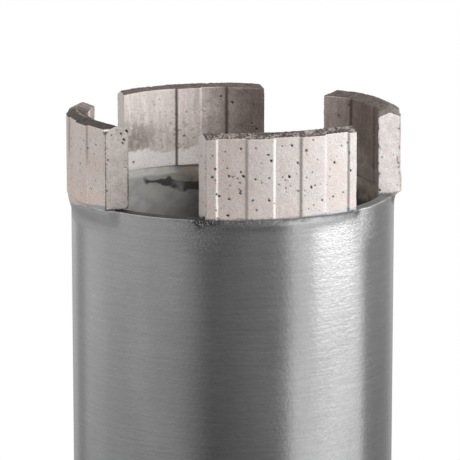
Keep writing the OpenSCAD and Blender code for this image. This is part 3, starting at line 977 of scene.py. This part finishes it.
def sintered(
    name, copper, end_tone, stain_and_shade, smudged, pale_foot, sprayed, roof, tones,
    smudge_at=None, ends_sprayed=1.0, roof_worn=0.0, ridge_highlight=0.0,
):
    """Sintered metal: grainy and pinkish outside, duller inside, dark on the roof, open pores, with painted
    shade and highlights on it.

    Copper is how warm the foot is outside and pale_foot how pale it is inside. Sprayed is how high
    the lacquer reaches up the foot at the two ends of the segment. Tones are how strong red, green
    and blue are at its -X and its +X end.
    """
    material, tree, shader, place = new_finish(name, Metallic=0.35, Specular_IOR_Level=0.35)
    lie = node(tree, "Attribute", attribute_name="place").outputs["Vector"]
    along, _, up = node(tree, "SeparateXYZ", {0: lie}).outputs
    inner, ends, on_roof = (written(tree, name) for name in ("inner", "ends", "roof"))
    patch = cloud(tree, place, 4.5, 3.0)
    blotch = cloud(tree, place, 1.3, 3.0)
    grain = cloud(tree, place, 0.17, 2.0)
    specks = cloud(tree, place, 0.34, 1.0)
    ragged = times(tree, minus(tree, blotch, 0.5), 1.8)

    # The faces: outside, both ends, inside with its foot, and the walls between the strips
    colour = tint(tree, fade(tree, patch, 0.42, 0.6), SINTER, SINTER_PINK)
    colour = tint(tree, fade(tree, blotch, 0.45, 0.75), colour, SINTER_GREY)
    colour = tint(tree, times(tree, ends, fade(tree, blotch, 0.38, 0.62, 1.0, 0.35)), colour, end_tone)
    inner_tone, inner_shaded = inner_face_tone(
        tree, place, along, up, patch, blotch, ragged, stain_and_shade, smudged, smudge_at
    )
    colour = tint(tree, inner, colour, inner_tone)
    wavy_up = plus(tree, up, times(tree, minus(tree, patch, 0.5), 5.0))
    low = times(tree, fade(tree, wavy_up, 2.2, 2.7, 1.0, 0.0), inner)
    colour = tint(tree, times(tree, low, pale_foot), colour, FOOT_PALE)
    # Painted shade on the walls between strips, and a painted highlight on the lit ones
    wall_shade_share = times(tree, fade(tree, inner, 0.0, 1.0, 0.45, 0.9), written(tree, "wall"))
    colour = tint(tree, wall_shade_share, colour, tint(tree, inner, SINTER_SHADE, INNER_WALL_SHADE))
    colour = tint(tree, times(tree, written(tree, "bright"), 0.5), colour, WALL_HIGHLIGHT)
    not_inner = minus(tree, 1.0, inner)
    warm = times(tree, fade(tree, plus(tree, up, ragged), 0.8, 4.0, 1.0, 0.0), not_inner)
    warm = times(tree, warm, fade(tree, ends, 0.0, 1.0, 1.0, 0.3))
    colour = tint(tree, times(tree, warm, copper), colour, FOOT_COPPER)

    # The roof, the marks on all sides, the grain, and the tone from end to end
    on_ridge = written(tree, "ridge")
    top_tone = roof_tone(tree, on_ridge, along, blotch, specks, grain, ragged, roof, roof_worn, ridge_highlight)
    colour = tint(tree, on_roof, colour, top_tone)
    colour = marked(tree, colour, up, ragged, grain, specks)
    colour = brightened(tree, colour, fade(tree, grain, 0.3, 0.7, 0.86, 1.12))
    to_right = fade(tree, along, -SEGMENT_LENGTH / 2, SEGMENT_LENGTH / 2)
    tone = tint(tree, to_right, *((*end, 1) for end in tones))
    colour = node(tree, "VectorMath", {0: colour, 1: tone}, operation="MULTIPLY").outputs[0]

    # Lacquer on the foot, up to its masked edge, and the shares of metal and gloss
    spray_line = fade(tree, along, -SEGMENT_LENGTH / 2, SEGMENT_LENGTH / 2, *sprayed)
    over_line = minus(tree, plus(tree, up, times(tree, ragged, 0.25)), spray_line)
    painted = times(tree, fade(tree, over_line, -0.1, 0.12, 1.0, 0.0), not_inner)
    painted = times(tree, painted, fade(tree, ends, 0.0, 1.0, 1.0, ends_sprayed))
    colour = tint(tree, painted, colour, SPRAY_GREY)
    tree.links.new(colour, shader.inputs["Base Color"])
    gloss = plus(tree, fade(tree, blotch, 0.3, 0.7, 0.5, 0.66), times(tree, on_roof, 0.15))
    less = plus(tree, times(tree, inner, 0.1), times(tree, painted, 0.2))
    tree.links.new(minus(tree, gloss, less), shader.inputs["Roughness"])
    inner_metal = times(tree, inner, fade(tree, inner_shaded, 0.0, 0.6, -0.35, 0.15))
    metal = plus(tree, inner_metal, times(tree, painted, 0.4))
    metal = minus(tree, plus(tree, metal, 0.35), times(tree, on_roof, 0.25))
    tree.links.new(metal, shader.inputs["Metallic"])
    relief(tree, shader, (grain, 0.035), (blotch, 0.04))
    return material


SEGMENT_SHAPES = {
    "front": {"seed": 3, "outer_pits": 95, "end_pits": 10, "roof_pits": 120, "end_shade_strength": 0.45},
    "right": {
        "seed": 5, "outer_pits": 60, "end_pits": 6, "roof_pits": 80, "inner_steps": (-12, 8),
        "shaded_past": 4.0, "foot_out": 0.2, "crumble": 0.5,
    },
    "back": {"seed": 7, "outer_pits": 70, "end_pits": 10, "inner_rise": 0.35, "inner_steps": (-8, 4)},
    "left": {
        "seed": 9, "outer_pits": 80, "end_pits": 16, "pit_size": 0.75, "wave_shift": 0.9,
        "shaded_above": 6.5, "foot_radius": 25.8, "lean_in": LEFT_LEAN, "corner": 0.7, "end_shade_width": 0.3,
        "end_shade_strength": 1.3,
        "holes": (
            (0.65, 10.6, 0.21, 0.2), (0.8, 10.05, 0.2, 0.18), (1.0, 11.35, 0.17, 0.14),
            (2.3, 11.3, 0.15, 0.1), (0.2, 12.1, 0.26, 0.2),
        ),
    },
}
SEGMENT_LOOKS = {
    "front": {
        "copper": 0.05, "end_tone": SINTER_GREY, "stain_and_shade": (0.9, 0, 9), "smudged": 0.4, "pale_foot": 0.3,
        "sprayed": (-0.3, 0.75), "roof": (ROOF_DARK, ROOF_PALE),
        "tones": ((1.0, 0.99, 0.985), (0.94, 0.975, 0.99)),
    },
    "right": {
        "copper": 0.1, "end_tone": SINTER_LIGHT, "stain_and_shade": (1.0, 20, 2), "smudged": 0.3, "pale_foot": 0.12,
        "sprayed": (0.1, 0.3), "roof": (ROOF_BROWN, ROOF_WORN), "roof_worn": 0.4, "ridge_highlight": 0.4,
        "tones": ((1.01, 1.01, 1.01), (0.95, 0.92, 0.9)), "smudge_at": (3.5, 3.2, 3.2, 2.0),
    },
    "back": {
        "copper": 0.1, "end_tone": SINTER_GREY, "stain_and_shade": (0.85, 2, -11), "smudged": 0.42, "pale_foot": 1.0,
        "sprayed": (0.3, 0.3), "roof": (ROOF_BROWN, ROOF_WORN),
        "tones": ((0.93, 0.9, 0.89), (1.02, 1.02, 1.02)), "smudge_at": (9.5, 4.4, 4.5, 3.6),
    },
    "left": {
        "copper": 0.3, "end_tone": SINTER_DULL, "stain_and_shade": (0.9, 0, 9), "smudged": 0.4, "pale_foot": 0.3,
        # The left roof's darker tones are painted shade
        "sprayed": (-3.5, 0.57), "ends_sprayed": 0.0, "roof": (ROOF_SHADED, ROOF_DARK), "roof_worn": 0.55,
        "ridge_highlight": 0.75, "tones": ((0.963, 0.935, 0.91), (1.08, 1.06, 1.04)),
        "smudge_at": (-11.0, 10.0, 4.0, 5.0),
    },
}
for side, shape in SEGMENT_SHAPES.items():
    points, place, values = segment_points(**shape)
    broken = np.zeros(len(points))
    if side == "left":
        points, broken = chipped(points, shape["seed"])
    values["broken"] = broken
    values["roof"] = values["roof"] * (1 - broken)
    turn = math.radians(SEGMENT_TURNS[side])
    x, y = points[:, 0], points[:, 1]
    set_round = np.stack([
        x * math.cos(turn) - y * math.sin(turn),
        x * math.sin(turn) + y * math.cos(turn),
        points[:, 2] + RIM,
    ], axis=-1)
    finish = sintered(f"sinter_{side}", **SEGMENT_LOOKS[side])
    segment = new_piece(f"diamond_{side}", set_round, block_faces, [finish], crease=70)
    values["spatter"] = round_rim(np.arctan2(set_round[:, 1], set_round[:, 0]), SPATTER)
    write_values(segment.data, values)
    lie = segment.data.attributes.new("place", "FLOAT_VECTOR", "POINT")
    lie.data.foreach_set("vector", place.astype(np.float32).ravel())
    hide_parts(f"segment_{side}")
    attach(segment, "root")


# The camera stands at the photograph's place: a long lens, close to the crown and a little above it.
# It looks at a point beside the barrel's axis, a little below the rim.
CAMERA_TURN = math.radians(26.715)
CAMERA_DOWN = math.radians(11.43)
CAMERA_AWAY = 0.48649
CAMERA_ASIDE = -0.424 * MM
CAMERA_AIM_HEIGHT = 323.511 * MM
CAMERA_LENS = 244.6
SENSOR_WIDTH = 36.0


def studio_place(turn, away, height):
    """A place in the studio: turned to the right from the camera's own direction, away from the bit."""
    angle = CAMERA_TURN + math.radians(turn)
    return Vector((math.sin(angle) * away, -math.cos(angle) * away, height))


camera = bpy.data.objects.new("camera", bpy.data.cameras.new("camera"))
back = studio_place(0, math.cos(CAMERA_DOWN), math.sin(CAMERA_DOWN))
aim = Vector((CAMERA_ASIDE * math.cos(CAMERA_TURN), CAMERA_ASIDE * math.sin(CAMERA_TURN), CAMERA_AIM_HEIGHT))
camera.location = aim + back * CAMERA_AWAY
camera.rotation_mode = "QUATERNION"
camera.rotation_quaternion = (-back).to_track_quat("-Z", "Y")
camera.data.lens = CAMERA_LENS
camera.data.sensor_width = SENSOR_WIDTH
camera.data.clip_start = 0.01
camera.data.clip_end = 100.0
bpy.context.scene.collection.objects.link(camera)
bpy.context.scene.camera = camera
bpy.context.scene.view_settings.view_transform = "Standard"


# The floor is pale board, lit as it lies near the bit, so that it keeps the bit's shadow, and it
# passes into the white of the background further out. The world round it is the same white.
FLOOR_SIZE = 40.0
FLOOR_LIT_TO = 0.3
FLOOR_WHITE_FROM = 0.85
FLOOR_GREY = (0.8, 0.8, 0.8, 1)
WORLD_GREY = 0.36


def white_for_looking(tree):
    """1 where a ray comes from the camera, or from it by a reflection or through glass."""
    path = node(tree, "LightPath").outputs
    seen = larger(tree, path["Is Camera Ray"], path["Is Glossy Ray"])
    return larger(tree, seen, path["Is Transmission Ray"])


floor_finish = bpy.data.materials.new("floor_board")
floor_finish.use_nodes = True
tree = floor_finish.node_tree
board = tree.nodes["Principled BSDF"]
board.inputs["Base Color"].default_value = FLOOR_GREY
board.inputs["Roughness"].default_value = 0.9
board.inputs["Specular IOR Level"].default_value = 0.0
from_bit = node(tree, "TexCoord").outputs["Object"]
away = node(tree, "VectorMath", {0: from_bit}, operation="LENGTH").outputs["Value"]
far = times(tree, fade(tree, away, FLOOR_LIT_TO, FLOOR_WHITE_FROM), white_for_looking(tree))
glow = node(tree, "Emission", {"Color": (1, 1, 1, 1), "Strength": 1.0})
ground = node(tree, "MixShader", {0: far, 1: board.outputs[0], 2: glow.outputs[0]})
tree.links.new(ground.outputs[0], tree.nodes["Material Output"].inputs["Surface"])
half = FLOOR_SIZE / 2
corners = [(-half, -half, 0), (half, -half, 0), (half, half, 0), (-half, half, 0)]
floor_mesh = bpy.data.meshes.new("floor")
floor_mesh.from_pydata(corners, [], [(0, 1, 2, 3)])
floor_mesh.materials.append(floor_finish)
floor = bpy.data.objects.new("floor", floor_mesh)
bpy.context.scene.collection.objects.link(floor)

world = bpy.data.worlds.new("studio")
bpy.context.scene.world = world
world.use_nodes = True
tree = world.node_tree
strength = fade(tree, white_for_looking(tree), 0.0, 1.0, WORLD_GREY, 1.0)
tree.links.new(strength, tree.nodes["Background"].inputs["Strength"])
tree.nodes["Background"].inputs["Color"].default_value = (1, 1, 1, 1)


# The grey cards round the bit are what its lacquer reflects: dark in front, mid grey at the left
# and behind both edges. They stand for the unlit studio and run on over the floor towards the bit,
# are seen only in reflections, and light nothing.
CARD_AWAY = 0.6
CARD_PITCH = 3.0
# A section's places, from the bit outwards and up: how far out, as a share of CARD_AWAY, how high,
# and how strong the card's grey is there
LYING = ((0.2, 0.004, 1.0), (0.96, 0.004, 1.0))
STANDING = (*LYING, (1.0, 0.004, 0.35), (1.0, 0.16, 0.84), (1.0, 0.22, 1.05), (1.0, 0.5, 1.15))
CARDS = {
    "left": (STANDING, (
        (-172, 0.6), (-150, 0.7), (-139, 0.42), (-132, 0.5), (-124, 0.76), (-106, 0.78), (-98, 0.68),
        (-62, 0.58), (-46, 0.53), (-36, 0.47), (-26, 0.35), (-18, 0.2),
    )),
    "front": (STANDING, (
        (-18, 0.2), (-12, 0.18), (2, 0.232), (12, 0.28), (20, 0.29), (30, 0.31), (34, 0.365), (38, 0.57),
        (41, 0.66),
    )),
    "key": (LYING, ((41, 1.0), (50, 1.4), (85, 1.4), (104.5, 0.5))),
    "right": (STANDING, ((104.5, 0.38), (118, 0.42), (135, 0.43), (144, 0.49), (155, 0.62), (172, 0.65))),
}


def card(name, section, stops):
    """A curved card round the bit, with that section. Each stop is a turn from the camera and a grey."""
    turns = lines_through([turn for turn, _ in stops], CARD_PITCH)
    greys = np.interp(turns, *zip(*stops))
    points = [studio_place(turn, CARD_AWAY * out, height) for out, height, _ in section for turn in turns]
    mesh = bpy.data.meshes.new("card_" + name)
    mesh.from_pydata(points, [], grid_faces(len(section), len(turns), False, False).tolist())
    write_values(mesh, {"shade": np.concatenate([greys * share for _, _, share in section])})
    material = bpy.data.materials.new("card_" + name)
    material.use_nodes = True
    tree = material.node_tree
    lit = node(tree, "Emission", {"Color": (1, 1, 1, 1), "Strength": written(tree, "shade")})
    tree.links.new(lit.outputs[0], tree.nodes["Material Output"].inputs["Surface"])
    mesh.materials.append(material)
    made = bpy.data.objects.new("card_" + name, mesh)
    made.visible_camera = False
    made.visible_diffuse = False
    made.visible_shadow = False
    bpy.context.scene.collection.objects.link(made)


for name, (section, stops) in CARDS.items():
    card(name, section, stops)


# Three soft boxes light the bit: a big one at the right, which the lacquer mirrors as its bright
# band, a weaker one high at the left, and one above the camera's right side.
LAMP_AIM = Vector((0, 0, 0.33))
LAMPS = {
    "key": {"turn": 79, "away": 0.95, "height": 0.6, "size": (0.8, 1.0), "power": 6.7},
    "left": {"turn": -105, "away": 1.0, "height": 1.15, "size": (0.6, 0.5), "power": 4.2},
    "top": {"turn": 38, "away": 0.7, "height": 1.15, "size": (0.8, 0.8), "power": 3.6},
}
for name, lamp in LAMPS.items():
    light = bpy.data.lights.new(name, "AREA")
    light.shape = "RECTANGLE"
    light.size, light.size_y = lamp["size"]
    light.energy = lamp["power"]
    box = bpy.data.objects.new("lamp_" + name, light)
    box.location = studio_place(lamp["turn"], lamp["away"], lamp["height"])
    box.rotation_mode = "QUATERNION"
    box.rotation_quaternion = (LAMP_AIM - box.location).to_track_quat("-Z", "Y")
    bpy.context.scene.collection.objects.link(box)
